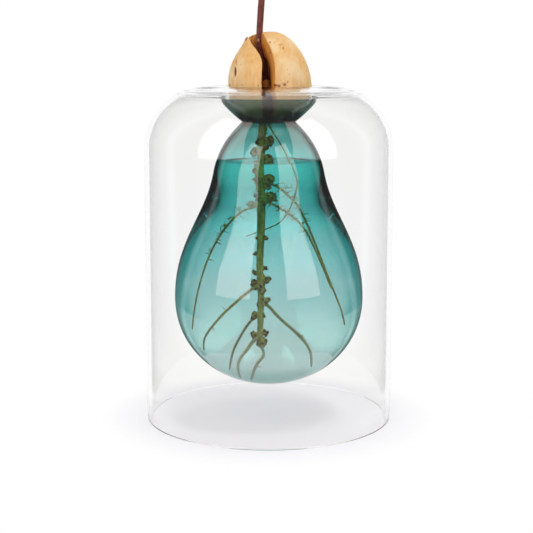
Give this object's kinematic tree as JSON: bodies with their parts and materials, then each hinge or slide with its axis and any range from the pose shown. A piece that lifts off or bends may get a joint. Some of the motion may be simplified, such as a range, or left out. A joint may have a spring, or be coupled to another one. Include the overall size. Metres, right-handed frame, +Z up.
{
  "type": "germination vase",
  "caption": "Clear glass dome carrying a fused sea-green pear-shaped vessel with a flared dish, in which a split seed with its stem rests and hangs its roots in water.",
  "frame": {"origin": "centre of the dome's foot, on the table", "axes": "+Z up along the dome's axis, -Y towards the viewer of the picture"},
  "size_m": [0.12, 0.12, 0.2237],
  "materials": {
    "clear_glass": "clear blown glass, polished",
    "teal_glass": "sea-green blown glass, deepest at the neck and pale at the bottom",
    "seed_flesh": "dry matt seed flesh",
    "collar_flesh": "moist brown plant tissue",
    "stem_bark": "smooth red-brown young bark",
    "bud_skin": "smooth bud scales",
    "root_skin": "wet green-brown root skin"
  },
  "bodies": {
    "glassware": {"outer_dome": "clear_glass", "pear_vessel": "teal_glass"},
    "seedling": {"cotyledon_left": "seed_flesh", "cotyledon_right": "seed_flesh", "root_collar": "collar_flesh", "stem": "stem_bark", "shoot_tip": "bud_skin", "tap_root": "root_skin", "thread_root": "root_skin", "left_upper_root": "root_skin", "right_upper_root": "root_skin", "right_middle_root": "root_skin", "left_lower_root": "root_skin", "left_inner_root": "root_skin", "right_lower_root": "root_skin", "left_bottom_root": "root_skin", "right_bottom_root": "root_skin"}
  },
  "joints": [
    {"name": "seedling_lift", "type": "slide", "parent": "glassware", "child": "seedling", "axis": [0, 0, 1], "range_m": [0, 0.15], "deforming": ["thread_root", "left_upper_root", "right_upper_root", "right_middle_root", "left_lower_root", "left_inner_root", "right_lower_root", "left_bottom_root", "right_bottom_root"]}
  ]
}
